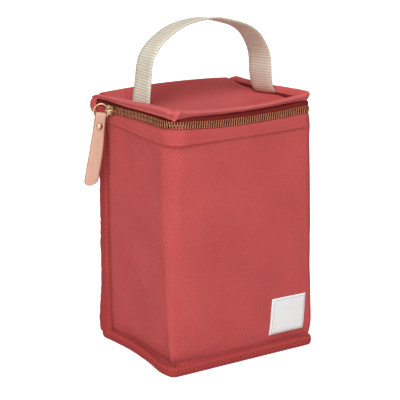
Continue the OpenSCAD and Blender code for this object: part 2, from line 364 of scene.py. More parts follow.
def rear_puff(point):
    """The cloth bulges out at the left rear corner, by the hinge and on the lid."""
    near = bell(hypot(point.x + HALF_W + 1, point.y - HALF_D - 2), REAR_PUFF_W)
    rise = ease((point.z - 180) / 16) * lerp(1, 0.64, ease((point.z - 199.5) / 6))
    return point + REAR_PUFF_WAY * (REAR_PUFF * near * rise)


def wall_swell(place, z):
    """How far the soft wall stands out from its plane."""
    middle = arch(z / MOUTH_Z)
    x, y = place.point.x, place.point.y
    swell = 0.7 * middle * ripple(x + y, z, 3.7, 42) + 0.25 * middle * ripple(x - y, z, 9.1, 15)
    swell -= seam_pull(place, z)
    front_end = WALL_SWELL * middle
    right_start = 2.6 + front_end
    if place.part == "front":
        swell += 1.2 * arch(place.share) * middle + front_end * ease((place.share - 0.75) / 0.25)
    if place.part == "front_left":
        swell -= left_creases(y, z) * (1 - place.share)
    if place.part == "front_right":
        swell += lerp(front_end, right_start, place.share)
    if place.part == "right":
        swell += lerp(right_start, -front_end, ease(place.share / 0.3))
    if place.part == "left":
        swell -= 1.4 * middle * arch(place.share) + left_creases(y, z)
    return swell


def zip_height(place):
    """The zip sags along the front and climbs to the front corners."""
    share = place.share
    climb = 0
    if place.part == "left":
        climb = lerp(0.3, ZIP_CLIMB, ease((28 - place.point.y) / 50))
    if place.part == "front_left":
        climb = ZIP_CLIMB * lerp(1, 0.6, share)
    if place.part == "front":
        climb = 0.6 * ZIP_CLIMB * ease(1 - 4 * share) + ZIP_RIGHT_CLIMB * ease(4 * share - 3)
        climb -= ZIP_SAG * arch(share)
    if place.part == "front_right":
        climb = ZIP_RIGHT_CLIMB
    if place.part == "right":
        climb = ZIP_RIGHT_CLIMB * (1 - ease(2 * share))
    return ZIP_Z + climb


# Meshes

def lengths(points):
    """Distance from the first point to each point."""
    found = [0]
    for a, b in zip(points, points[1:]):
        found.append(found[-1] + (b - a).length)
    return found


def new_object(name, points, faces, corner_uvs=None):
    mesh = bpy.data.meshes.new(name)
    mesh.from_pydata([p * MM for p in points], [], faces, shade_flat=False)
    if corner_uvs:
        layer = mesh.uv_layers.new(name="UVMap")
        for corner, (u, v) in zip(layer.data, corner_uvs):
            corner.uv = (u * MM, v * MM)
    obj = bpy.data.objects.new(name, mesh)
    scene.collection.objects.link(obj)
    return obj


@contextmanager
def editing(obj):
    """A mesh in a form to edit, written back at the end."""
    work = bmesh.new()
    work.from_mesh(obj.data)
    yield work
    work.to_mesh(obj.data)
    work.free()


def face_outward(obj, sheet=False):
    """Turns the faces outward, and those of a sheet away from the middle of the bag."""
    with editing(obj) as work:
        bmesh.ops.recalc_face_normals(work, faces=work.faces)
        if sheet:
            reach = [(f.calc_center_median() - INSIDE * MM) * f.calc_area() for f in work.faces]
            away = sum(f.normal.dot(way) for f, way in zip(work.faces, reach))
            if away < 0:
                bmesh.ops.reverse_faces(work, faces=work.faces)


def net(point, firsts, seconds):
    """Rows of points from a function of two values, with a row for each of the first ones."""
    return [[point(a, b) for b in seconds] for a in firsts]


def grid(name, rows, ring=False, closed=False, caps=False):
    """A mesh through rows of points. ring closes each row, and closed joins the last row to the first."""
    count = len(rows[0])
    middle = count // 2
    spine = [row[middle] for row in rows] + ([rows[0][middle]] if closed else [])
    across_row = rows[len(rows) // 2]
    along = lengths(spine)
    across = lengths(across_row + ([across_row[0]] if ring else []))
    faces = []
    uvs = []
    for i in range(len(along) - 1):
        for j in range(len(across) - 1):
            corners = ((i, j), (i + 1, j), (i + 1, j + 1), (i, j + 1))
            faces.append([(a % len(rows)) * count + b % count for a, b in corners])
            uvs += [(along[a], across[b]) for a, b in corners]
    if caps:
        for end in (0, len(rows) - 1):
            faces.append([end * count + j for j in range(count)])
            uvs += [(along[0], across[j]) for j in range(count)]
    obj = new_object(name, [p for row in rows for p in row], faces, uvs)
    face_outward(obj, sheet=not (ring or closed))
    return obj


def sweep(name, path, profile, closed=False, move=Vector):
    """A band along the outline. profile gives its section at a place as (outward, height) pairs."""
    rows = [[move(off(place, out, z)) for out, z in profile(place)] for place in path]
    return grid(name, rows, ring=True, closed=closed, caps=not closed)


def thicken(obj, thickness):
    """Gives a sheet its thickness, on its inner side."""
    obj.modifiers.new("thickness", "SOLIDIFY").thickness = thickness * MM
    return obj


def smooth(obj):
    obj.modifiers.new("smooth", "SUBSURF").render_levels = 1
    return obj


def rounded_section(width, thickness, crown=0):
    """A flat section with soft edges, as (across, out) pairs."""
    half = width / 2
    edge = thickness / 2
    top = [(s * (half - edge), edge + crown * (1 - s * s)) for s in (-1, -0.6, -0.2, 0.2, 0.6, 1)]
    low = [(across, out - thickness) for across, out in reversed(top)]
    return top + [(half, 0)] + low + [(-half, 0)]


def segments(points, distances):
    """The segment of a line, and the share of it, at each of some growing distances."""
    along = lengths(points)
    k = 0
    for at in distances:
        while k < len(points) - 2 and along[k + 1] < at:
            k += 1
        yield k, (at - along[k]) / max(along[k + 1] - along[k], 1e-6)


def spline(points, count):
    """Evenly spaced points on a smooth curve through the given ones."""
    dense = []
    for i in range(len(points) - 1):
        p0 = points[max(i - 1, 0)]
        p1 = points[i]
        p2 = points[i + 1]
        p3 = points[min(i + 2, len(points) - 1)]
        for t in shares(12)[:-1]:
            square = (2 * p0 - 5 * p1 + 4 * p2 - p3) * t ** 2
            cube = (3 * p1 - p0 - 3 * p2 + p3) * t ** 3
            dense.append(0.5 * (2 * p1 + (p2 - p0) * t + square + cube))
    dense.append(points[-1])
    whole = lengths(dense)[-1]
    goals = [whole * i / (count - 1) for i in range(count)]
    return [dense[k].lerp(dense[k + 1], share) for k, share in segments(dense, goals)]


def tangents(line):
    """The direction of a line at each of its points."""
    last = len(line) - 1
    return [(line[min(i + 1, last)] - line[max(i - 1, 0)]).normalized() for i in range(last + 1)]


# Copies of a small shape along a line

def bevelled_block(size, bevel):
    """Points and faces of a block with rounded edges."""
    work = bmesh.new()
    bmesh.ops.create_cube(work, size=1)
    bmesh.ops.scale(work, vec=size, verts=work.verts)
    bmesh.ops.bevel(work, geom=work.edges[:], offset=bevel, segments=2, affect="EDGES", profile=0.5)
    return taken(work)


def thread_bead(length, width):
    """Points and faces of one stitch, fat in the middle."""
    work = bmesh.new()
    bmesh.ops.create_icosphere(work, subdivisions=1, radius=0.5)
    bmesh.ops.scale(work, vec=(length, width, width), verts=work.verts)
    return taken(work)


def taken(work):
    work.verts.index_update()
    shape = [v.co.copy() for v in work.verts], [[v.index for v in f.verts] for f in work.faces]
    work.free()
    return shape


def stamp(name, shape, frames):
    """One mesh with a copy of the shape in each frame (origin, along, out, up)."""
    points, faces = shape
    all_points = []
    all_faces = []
    for origin, along, out, up in frames:
        first = len(all_points)
        all_points += [origin + along * p.x + out * p.y + up * p.z for p in points]
        all_faces += [[first + i for i in face] for face in faces]
    obj = new_object(name, all_points, all_faces)
    face_outward(obj)
    return obj


def frames_on(points, outward, pitch, start=0, end=0):
    """Frames at an even pitch along a line, turned outward."""
    reach = lengths(points)[-1] - start - end
    frames = []
    for k, share in segments(points, [start + i * pitch for i in range(int(reach / pitch) + 1)]):
        tangent = (points[k + 1] - points[k]).normalized()
        out = outward[k].lerp(outward[k + 1], share)
        out = (out - tangent * out.dot(tangent)).normalized()
        frames.append((points[k].lerp(points[k + 1], share), tangent, out, tangent.cross(out)))
    return frames


# Materials

def srgb(red, green, blue):
    """A colour written from 0 to 255, as the shader takes it."""
    def linear(level):
        level /= 255
        return level / 12.92 if level <= 0.04045 else ((level + 0.055) / 1.055) ** 2.4
    return (linear(red), linear(green), linear(blue), 1)


def add(tree, kind, sockets, **settings):
    """Adds a node and gives its outputs. A socket takes a value or the output of another node."""
    node = tree.nodes.new("ShaderNode" + kind)
    for key, value in settings.items():
        setattr(node, key, value)
    for key, value in sockets.items():
        if isinstance(value, bpy.types.NodeSocket):
            tree.links.new(value, node.inputs[key])
        else:
            node.inputs[key].default_value = value
    return node.outputs


class Surface:
    """A material whose pattern comes from nodes, with its lengths in millimetres."""

    def __init__(self, name, source, roughness, metallic=0, specular=0.5):
        self.mat = bpy.data.materials.new(name)
        self.mat.use_nodes = True
        self.tree = self.mat.node_tree
        self.sockets = self.tree.nodes["Principled BSDF"].inputs
        finish = {"Roughness": roughness, "Metallic": metallic, "Specular IOR Level": specular}
        for key, value in finish.items():
            self.sockets[key].default_value = value
        metres = add(self.tree, "TexCoord", {})[source]
        self.coords = add(self.tree, "VectorMath", {0: metres, "Scale": 1 / MM}, operation="SCALE")[0]

    def ridges(self, pitch, direction="X", angle=0, wobble=0):
        """Soft parallel ridges, pitch apart."""
        turned = {"Vector": self.coords, "Rotation": (0, 0, radians(angle))}
        coords = add(self.tree, "Mapping", turned)[0]
        wave = {"Vector": coords, "Scale": pi / 10 / pitch, "Distortion": wobble, "Detail": 1}
        return add(self.tree, "TexWave", wave, bands_direction=direction)["Fac"]

    def lumps(self, size, detail=2):
        """Noise with lumps of the given size."""
        noise_of = {"Vector": self.coords, "Scale": 1 / size, "Detail": detail}
        return add(self.tree, "TexNoise", noise_of)["Fac"]

    def cells(self, scale):
        """Distance from the middle of small uneven cells."""
        return add(self.tree, "TexVoronoi", {"Vector": self.coords, "Scale": scale})["Distance"]

    def mix(self, a, b, share):
        """(1 - share) of a with share of b."""
        return add(self.tree, "Mix", {0: share, 2: a, 3: b}, data_type="FLOAT")[0]

    def link(self, value, socket):
        self.tree.links.new(value, self.sockets[socket])

    def paint(self, tone, dark, light):
        colours = {0: tone, 6: srgb(*dark), 7: srgb(*light)}
        self.link(add(self.tree, "Mix", colours, data_type="RGBA")[2], "Base Color")

    def roughen(self, value, low, high):
        levels = {"Value": value, "To Min": low, "To Max": high}
        self.link(add(self.tree, "MapRange", levels)[0], "Roughness")

    def emboss(self, height, depth, strength):
        """Raises the pattern and gives the finished material."""
        bump = {"Height": height, "Distance": depth * MM, "Strength": strength}
        self.link(add(self.tree, "Bump", bump)[0], "Normal")
        return self.mat


def twill(name, dark, light, pitch=1.35):
    """Cotton twill: diagonal ridges crossed by weaker threads, slubs and a slow drift of colour."""
    cloth = Surface(name, "UV", roughness=0.85, specular=0.12)
    diagonal = cloth.ridges(pitch, angle=38, wobble=0.4)
    crossing = cloth.ridges(pitch, angle=-46, wobble=0.6)
    weave = cloth.mix(diagonal, crossing, 0.45)
    height = cloth.mix(weave, cloth.lumps(1.6), 0.3)
    cloth.paint(cloth.mix(height, cloth.lumps(38), 0.25), dark, light)
    return cloth.emboss(height, 0.2, 0.55)


def webbing(name, dark, light):
    """Cotton webbing with ribs across its width and fine yarn along them."""
    band = Surface(name, "UV", roughness=0.9, specular=0.15)
    ribs = band.ridges(2.27, wobble=0.3)
    yarn = band.ridges(0.7, direction="Y", wobble=0.8)
    height = band.mix(ribs, yarn, 0.25)
    band.paint(band.mix(height, band.lumps(14), 0.35), dark, light)
    return band.emboss(height, 0.3, 0.7)


def hide(name, dark, light):
    """Vegetable-tanned leather with fine pores and cloudy colour."""
    leather = Surface(name, "Object", roughness=0.5, specular=0.3)
    pores = leather.cells(1.6)
    clouds = leather.lumps(9, 3)
    leather.paint(leather.mix(clouds, pores, 0.25), dark, light)
    leather.roughen(clouds, 0.42, 0.62)
    return leather.emboss(pores, 0.08, 0.4)


def metal(name, dark, light, smoothest, roughest):
    """Brass with darker tarnish in clouds and faint polishing marks."""
    brass = Surface(name, "Object", roughness=roughest, metallic=1)
    tarnish = brass.lumps(3, 4)
    brass.paint(tarnish, dark, light)
    brass.roughen(tarnish, roughest, smoothest)
    return brass.emboss(brass.lumps(0.5), 0.02, 0.3)


def satin(name, dark, light):
    """Woven label cloth: very fine threads with a silky face."""
    cloth = Surface(name, "UV", roughness=0.55, specular=0.3)
    threads = cloth.ridges(0.5, direction="Y", wobble=0.2)
    cloth.paint(cloth.mix(threads, cloth.lumps(8), 0.5), dark, light)
    return cloth.emboss(threads, 0.06, 0.5)


def foil(name, dark, light):
    """Silvery wipe-clean lining with an embossed grain."""
    sheet = Surface(name, "Object", roughness=0.38, metallic=0.55)
    creases = sheet.lumps(24, 3)
    sheet.paint(creases, dark, light)
    sheet.roughen(creases, 0.3, 0.5)
    return sheet.emboss(sheet.mix(sheet.cells(0.35), creases, 0.6), 0.5, 0.5)


RED = twill("red_twill", (143, 46, 48), (225, 105, 103))
# A lighter copy of the red twill for the lid's rim: a painted highlight on its roll.
RIM_RED_PAINTED_HIGHLIGHT = twill("red_rim_painted_highlight", (156, 56, 58), (238, 122, 120))
BINDING_RED = twill("red_binding", (124, 34, 35), (196, 82, 79))
# A dark red for the zip tapes: painted shade, for the tape in the shadow under the lid's rim.
SHADED_TAPE_RED = twill("red_zip_tape_painted_shade", (84, 20, 18), (132, 42, 38), pitch=0.7)
RED_THREAD = twill("red_thread", (196, 84, 80), (232, 128, 120), pitch=0.4)
CREAM = webbing("cream_webbing", (180, 168, 147), (244, 237, 222))
TAN = hide("tan_leather", (198, 154, 132), (220, 180, 158))
TAN_EDGE = hide("tan_leather_edge", (168, 118, 92), (198, 146, 118))
BRASS = metal("polished_brass", (140, 104, 72), (226, 196, 160), 0.14, 0.3)
# Dark reddish brass for the teeth's sides and the end stops: partly tarnish, partly painted shade, and its
# red tint is a painted reflection of the red cloth.
OLD_BRASS_AND_SHADE = metal("antique_brass_and_painted_shade", (50, 22, 10), (132, 80, 52), 0.15, 0.32)
# Lighter brass for the teeth's front faces: partly polish, partly painted light.
LIT_TOOTH_BRASS = metal("worn_brass_and_painted_light", (116, 58, 36), (216, 150, 112), 0.2, 0.4)
WHITE = satin("white_label", (226, 226, 226), (248, 248, 247))
GREY_THREAD = satin("grey_thread", (120, 122, 126), (158, 160, 163))
SILVER = foil("silver_lining", (176, 178, 182), (222, 224, 228))


def dress(obj, mat, slot, body, *nodes):
    """Gives a piece its material, the body that it rides on and the nodes that it stands for. The slot is
    not used.
    """
    obj.data.materials.append(mat)
    if body:
        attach(obj, body)
    if nodes:
        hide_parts(*nodes)
    return obj


# Stitches

# Each seam's points and outward directions, added as the pieces are made
bag_seams = []
lid_seams = []


def seams(name, lines, body):
    frames = []
    for points, outward in lines:
        frames += frames_on(points, outward, 3.1, 1, 1)
    stitches = stamp(name, thread_bead(2.2, 0.6), frames)
    dress(stitches, RED_THREAD, "red_cloth", body)


# Walls, back and base

def panel(name, rows, *nodes):
    """A padded panel of the bag."""
    wall = thicken(grid(name, rows), PANEL_T)
    dress(wall, RED, "red_cloth", "bag", *nodes)


def wall_levels():
    """Heights up the walls, closer together at the seams."""
    low = [2 + 1.5 * i for i in range(16)]
    top = [MOUTH_Z - 1.5 * i for i in range(18)]
    middle = [lerp(low[-1], top[-1], share) for share in shares(40)[1:-1]]
    return low + middle + top[::-1]


def bag_wall():
    """The front and both sides, in one soft wrap."""
    rows = [
        [base_bow(fold_back(off(place, wall_swell(place, z), z))) for place in wall_outline(z)]
        for z in wall_levels()
    ]
    panel("bag_wall", rows, "outer_panel", "wall_foam")


def back_wall():
    """The padded rear panel, with its edges under the two strips."""
    half = HALF_W - REAR_R + 1

    def point(z, share):
        x = lerp(-half, half, share)
        middle = arch(share) * arch(z / MOUTH_Z)
        swell = middle + 0.7 * middle * ripple(x, z, 5.2, 38) - 1.2 * bell(z - BINDING_H - 1, 5)
        return Vector((x, HALF_D + swell, z))
    panel("back_wall", net(point, wall_levels(), shares(BACK_COLUMNS)), "back_panel", "back_foam")


def base_pad():
    """The underside, a little off the ground."""
    half_w = HALF_W - BASE_EDGE
    half_d = HALF_D - BASE_EDGE

    def point(back, right):
        x = lerp(-half_w, half_w, right)
        y = lerp(-half_d, half_d, back)
        lift = BASE_LIFT + BASE_LIFT * arch(back) * arch(right) + 0.2 * ripple(x, y, 2.4, 20)
        return base_bow(Vector((x, y, lift)))
    panel("base_pad", net(point, shares(30), shares(36)), "base_panel", "base_foam")


def base_binding():
    """A plump folded band round the foot of the walls."""
    def section(place):
        x, y = place.point.x, place.point.y
        plump = BINDING_T + 0.3 * ripple(x + y, x - y, 7.7, 9)
        points = [(-2.2, BINDING_H - 0.6), (-2.2, 0.6)]
        for share in shares(8):
            angle = lerp(-BINDING_ARC, BINDING_ARC, share)
            height = BINDING_H / 2 * (1 + sin(angle) / sin(BINDING_ARC))
            points.append((plump * cos(angle) ** 0.6 - BINDING_IN, height))
        return points
    path = outline(FOLD_R, FOLD_R, REAR_R)
    band = smooth(sweep("base_band", path, section, closed=True, move=base_bow))
    dress(band, BINDING_RED, "red_cloth", "bag", "base_binding")
    line = [base_bow(off(p, BINDING_T * 0.83 - BINDING_IN, BINDING_H * 0.8)) for p in path]
    outward = [(p.outward + UP).normalized() for p in path]
    bag_seams.append((line + line[:1], outward + outward[:1]))


def rear_corner(side, run, out, z):
    """A point on the way from the side wall round the rear edge to the back."""
    turn_start = STRIP_W - REAR_R
    turn_length = REAR_R * pi / 2
    if run <= turn_start:
        return Vector((side * (HALF_W + out), HALF_D - STRIP_W + run, z))
    past = run - turn_start - turn_length
    if past > 0:
        return Vector((side * (HALF_W - REAR_R - past), HALF_D + out, z))
    angle = (run - turn_start) / REAR_R
    x = HALF_W - REAR_R + (REAR_R + out) * cos(angle)
    return Vector((side * x, HALF_D - REAR_R + (REAR_R + out) * sin(angle), z))


def rear_strip(side, name, node):
    """A plump, puckered cover strip round a rear edge of the bag."""
    def point(up, share):
        z = lerp(BINDING_H - 2, STRIP_TOP_Z, up)
        run = share * (STRIP_W + STRIP_BACK_W)
        plump = arch(share) ** 0.35 * lerp(0.45, 1, ease((STRIP_TOP_Z - z) / 7))
        gathers = 0.5 * ripple(run, z, 4.4 + side, 6) + 0.3 * ripple(run, z, 8.8 + side, 2.8)
        foot = 3 * bell(z - 16, 20) * ease(share / 0.6)
        out = plump * (STRIP_T + gathers + foot) - 1
        return rear_puff(base_bow(rear_corner(side, run, out, z)))
    rows = net(point, shares(140), shares(26))
    dress(grid(name, rows), BINDING_RED, "red_cloth", "bag", node)
    outward = flat(side, -0.3).normalized()
    bag_seams.append(([row[STRIP_SEAM_COLUMN] for row in rows], [outward] * len(rows)))


# Lining

def pan(name, profile, body, node):
    """A dish of lining. profile lists (inset, height) from its rim to the middle."""
    def point(place, z):
        wave = 0.35 * ripple(place.point.x + place.point.y, z, 6.1, 26)
        return base_bow(fold_back(off(place, wave, z)))
    rows = []
    for inset, z in profile:
        rows.append([point(place, z) for place in outline(LINING_R, LINING_R, REAR_R, inset)])
    dish = grid(name, rows, ring=True)
    below_rim = 0.99 * profile[0][1] * MM
    with editing(dish) as work:
        hole = [e for e in work.edges if e.is_boundary and e.verts[0].co.z < below_rim]
        bmesh.ops.holes_fill(work, edges=hole)
    dress(dish, SILVER, "lining", body, node)


def lining():
    mouth = [(5.6, MOUTH_Z - 1), (6.2, 184), (7.4, 170)]
    depth = [(8, z) for z in (150, 130, 110, 90, 70, 50, 32)]
    foot = [(8.6, 22), (9.2, 12), (10.2, 8.4), (12, 7), (18, 6.6), (30, 6.4), (48, 6.3)]
    pan("lining_bucket", mouth + depth + foot, "bag", "body_lining")


def mouth_binding():
    """A folded tape over the raw edge of the mouth."""
    outside = [(-0.1, 186), (-0.1, 190.5), (-0.8, 191.7), (-2.9, 192.3)]
    outside += [(-5, 191.7), (-6.2, 190.5), (-6.4, 186)]
    inside = [(-5.2, 186.2), (-5, 189.8), (-2.9, 190.6), (-1, 189.8), (-0.9, 186.2)]
    path = outline(ZIP_R, ZIP_RIGHT_R, REAR_R)
    tape = sweep("mouth_tape", path, lambda place: outside + inside, closed=True)
    # The mouth tape shares the tapes' dark red, which is painted shade.
    dress(smooth(tape), SHADED_TAPE_RED, "red_cloth", "bag", "mouth_binding")


# Zip

def pucker(place, z):
    """Small gathers along the band under the zip, strongest at the front left corner."""
    run = place.point.x - place.point.y
    near = bell((place.point - flat(-HALF_W, -HALF_D)).length, 42)
    return lerp(0.1, 0.42, near) * noise.noise(Vector((run / 9, (z + 0.3 * run) / 1.5, 1.3)))


def past_slider(place):
    """0 where the slider runs, and 1 behind the chain's end and past the front corner."""
    if place.part == "left":
        return ease((place.point.y - CHAIN_LEFT_Y) / 2)
    return ease((place.share - 0.2) / 0.4) if place.part == "front_left" else 1


def slider_room(place, z):
    """Keeps an edge below the divider where the slider runs."""
    return lerp(min(z, SLIDER_ROOM_Z), z, past_slider(place))


def facing():
    """The band under the zip, with a hem below and a thin lip up to the teeth."""
    def low_edge(place):
        if place.part == "left":
            return lerp(FACING_SIDE_Z, FACING_FRONT_Z, ease(place.share))
        if place.part == "right":
            return lerp(FACING_FRONT_Z, FACING_SIDE_Z, ease(place.share))
        return FACING_FRONT_Z - 0.3 * arch(place.share)

    def section(place):
        low = low_edge(place)
        hem = low + FACING_HEM
        shift = zip_height(place) - ZIP_Z
        top = FACING_TOP_Z + min(shift, 0)
        lip = slider_room(place, FACING_TOP_Z + FACING_LIP + shift)
        stand = lerp(0.75, 1.3, past_slider(place))
        outer = [(low, -0.3), (low + 0.5, 0.1), (low + 1.5, 0.2), (hem, -0.1)]
        outer += [(lerp(hem, top - 0.6, share), -0.1) for share in shares(10)[1:]]
        points = [(-1, low + 0.8), (0.6, low)]
        points += [(FACING_T + rise + pucker(place, z), z) for z, rise in outer]
        points += [(stand, z) for z in (top - 0.1, top + 0.5, lip)]
        return points + [(-0.2, lip), (-1, top - 0.6)]
    path = zip_path(FACING_END_Y)
    band = smooth(sweep("zip_facing_band", path, section))
    dress(band, RED, "red_cloth", "bag", "zip_facing")
    line = [off(p, FACING_T + 0.25, low_edge(p) + 1.9) for p in path]
    bag_seams.append((line, [p.outward for p in path]))


def tape_gap(place):
    """Half the gap between the tapes, which meet past both ends of the chain."""
    if place.part not in ("left", "right"):
        return TAPE_GAP
    end_y = CHAIN_LEFT_Y if place.part == "left" else CHAIN_RIGHT_Y
    return lerp(TAPE_GAP, 0.1, ease((place.point.y - end_y - 0.5) / 2))


def tapes():
    """The woven tapes that the teeth are clamped on."""
    def lower(place):
        z = zip_height(place)
        top = slider_room(place, z - tape_gap(place))
        return [(-0.2, z - 12), (0.45, z - 12), (0.45, top), (-0.2, top)]

    def upper(place):
        z = zip_height(place)
        low = z + tape_gap(place)
        bulge = undercut(place)
        outer = [(lerp(0.2, 0.9, bulge), z + 3), (lerp(-1.2, 1, bulge), z + 4.8)]
        top = [(lerp(-1.8, -0.8, bulge), z + 7), (-3, z + 7), (-2.6, z + 4)]
        return [(-0.4, low), (0.5, low)] + outer + top
    low = sweep("lower_tape", zip_path(), lower, move=rear_puff)
    dress(low, BINDING_RED, "zip_tape", "bag", "lower_zip_tape")
    high = sweep("upper_tape", zip_path(), upper, move=rear_puff)
    # The upper tape takes the dark red, painted shade under the rim.
    dress(high, SHADED_TAPE_RED, "zip_tape", "lid", "upper_zip_tape")


def teeth():
    """Two rows of teeth, lighter on the face and dark at the sides: partly polish and tarnish, partly
    painted light on the faces and painted shade on the sides.
    """
    path = zip_path(CHAIN_RIGHT_Y)
    line = [off(p, 0.4, zip_height(p)) for p in path]
    outward = [p.outward for p in path]
    start = CHAIN_RIGHT_Y - CHAIN_LEFT_Y
    points, faces = bevelled_block(TOOTH_SIZE, TOOTH_BEVEL)
    front = max(p.y for p in points)
    # The front faces take the lighter brass, partly polish and partly painted light.
    polished_and_lit = [sum(points[i].y for i in face) / len(face) > 0.9 * front for face in faces]
    for name, node, body, shift, lift, stand in (
        ("lower_teeth", "lower_zip_teeth", "bag", 0, -TOOTH_LOW, 0.25),
        ("upper_teeth", "upper_zip_teeth", "lid", TOOTH_PITCH / 2, TOOTH_HIGH, -0.6),
    ):
        frames = [
            (origin + UP * lift + out * stand, along, out, UP)
            for origin, along, out, _ in frames_on(line, outward, TOOTH_PITCH, start + shift)
        ]
        row = stamp(name, (points, faces), frames)
        # The sides take the dark brass, partly tarnish and partly painted shade.
        dress(row, OLD_BRASS_AND_SHADE, "brass", body, node)
        row.data.materials.append(LIT_TOOTH_BRASS)
        for i, face in enumerate(row.data.polygons):
            face.material_index = int(polished_and_lit[i % len(polished_and_lit)])


# Rim of the lid

def rim_path():
    """The way round the lid, with both ends wrapped round the rear corners."""
    path = outline(RIM_R, RIM_R, RIM_REAR_R)
    back = only(path, "back")
    start = [p for p in back if p.point.x < -RIM_WRAP_X] + only(path, "rear_left")
    end = only(path, "rear_right") + [p for p in back if p.point.x > RIM_WRAP_X]
    return start + only(path, "left", "front_left", "front", "front_right", "right") + end


def rim_top(place):
    """Height of the rim's top edge, which falls from the front corners to the rear."""
    rise = ease(place.share)
    heights = {
        "left": lerp(RIM_LEFT_REAR_Z, RIM_TOP_Z, rise),
        "front": RIM_TOP_Z - RIM_FRONT_DIP * arch(place.share) ** 0.8,
        "right": lerp(RIM_TOP_Z, RIM_RIGHT_REAR_Z, rise) - arch(place.share),
        "rear_right": RIM_RIGHT_REAR_Z - RIM_TUCK * rise,
        "back": RIM_LEFT_REAR_Z - RIM_TUCK,
        "rear_left": RIM_LEFT_REAR_Z - RIM_TUCK * (1 - rise),
    }
    return heights.get(place.part, RIM_TOP_Z)


def rim_low(place):
    """Height of the rim's lower edge, which lifts at the front corners and drops at the hinge."""
    share = place.share
    front = RIM_FRONT_LIFT * (1 - 0.5 * ease(2 * share))
    lifts = {
        "left": lerp(RIM_SIDE_LIFT, RIM_CORNER_LIFT, ease((share - 0.35) / 0.6)),
        "front_left": lerp(RIM_CORNER_LIFT, RIM_FRONT_LIFT, share),
        "front": lerp(front, RIM_RIGHT_LIFT, ease((share - 0.55) / 0.45)),
        "front_right": RIM_RIGHT_LIFT,
        "right": lerp(RIM_RIGHT_LIFT, RIM_SIDE_LIFT, ease(2 * share)),
        "rear_right": RIM_SIDE_LIFT - RIM_REAR_DROP * ease(share),
        "back": RIM_SIDE_LIFT - RIM_REAR_DROP,
        "rear_left": RIM_SIDE_LIFT - RIM_REAR_DROP * ease(1 - share),
    }
    return RIM_LOW_Z + lifts[place.part]


def rim_pinch(place):
    """1 at the mitre in a front corner of the rim, and 0 away from it."""
    return bell(place.share - 0.5, 0.3) if place.part in ("front_left", "front_right") else 0


def mitre(place, up):
    """How far the mitres draw the rim in. The left one slants, and the front swells by it."""
    if place.part == "front_right":
        return -2.6 * bell(place.share - 0.5, 0.16)
    # Where each part starts and how far it runs, measured in widths of the corner
    runs = {"left": (-9, 9), "front_left": (0, 1), "front": (1, 12)}
    if place.part not in runs:
        return 0
    start, run = runs[place.part]
    past = start + run * place.share - lerp(0.35, 0.65, up)
    return 1.2 * bell(past - 0.3, 0.2) - 2.8 * bell(past, 0.14)


def right_share(place):
    """0 where the lid rolls over the rim, and 1 where the rim stands on the right."""
    if place.part == "front":
        return ease((place.share - 0.85) / 0.3)
    if place.part == "front_right":
        return lerp(0.5, 1, place.share)
    return 1 if "right" in place.part or place.point.x > 0 else 0


def rim_inside(place):
    """Height of the rim's inner face."""
    return lerp(0.9, 6.5, right_share(place))


def undercut(place):
    """1 where the rim curls in under itself, and 0 where its hem hangs."""
    curls = {"front_left": ease(2 * place.share - 1), "front": 1, "front_right": 1, "right": 0.6}
    return curls.get(place.part, 0)


def lid_rim():
    """The folded flange round the lid, with a hem below and a roll at the top."""
    def section(place):
        pinch = rim_pinch(place)
        stand = right_share(place)
        under = undercut(place)
        sway = 0.35 * ripple(place.point.x + place.point.y, place.point.y, 12.5, 14)
        fade = ease((abs(place.point.x) - RIM_WRAP_X) / 8) if place.part == "back" else 1
        out = sway - 2.6 * (1 - fade)
        low = rim_low(place) - RIM_PINCH * pinch
        top = max(rim_top(place) + 0.4 * sway - 1.2 * pinch, low + 2.5)
        inner = top - rim_inside(place)
        points = [
            (-3.4, min(low + 1.4, inner - 0.6)), (lerp(-0.9, -2.4, under), low + 0.3),
            (lerp(0.1, -1.6, under), low), (lerp(1.3, -0.6, under), low + 0.4),
            (lerp(1.8, 0.2, under), low + 1.3), (lerp(0.5, 0.9, under), low + RIM_SEAM),
            (lerp(1.6, 1.9, under), lerp(low, top, 0.5)), (2.5, lerp(low, top, 0.74)),
            (2.2, top - 0.9), (1, top - 0.1), (-0.6, top),
            (lerp(-2.4, -1.8, stand), top - lerp(0.3, 1.4, stand)), (lerp(-4, -2.2, stand), inner),
        ]
        return [(out + o + mitre(place, (z - low) / (top - low)), z) for o, z in points]
    path = rim_path()
    rim = smooth(sweep("lid_rim", path, section, move=rear_puff))
    # The rim takes the lighter twill, a painted highlight on its roll.
    dress(rim, RIM_RED_PAINTED_HIGHLIGHT, "red_cloth", "lid", "lid_lip")
    hem = [p for p in path if p.part != "back"]
    line = [
        rear_puff(off(p, 1 + mitre(p, 0.3), rim_low(p) + RIM_SEAM - RIM_PINCH * rim_pinch(p)))
        for p in hem
    ]
    lid_seams.append((line, [p.outward for p in hem]))
    standing = only(path, "right", "rear_right")
    line = [rear_puff(off(p, -2.3, rim_top(p) - rim_inside(p) + 1.4)) for p in standing]
    lid_seams.append((line, [-p.outward for p in standing]))


# Top, lining and hinge of the lid

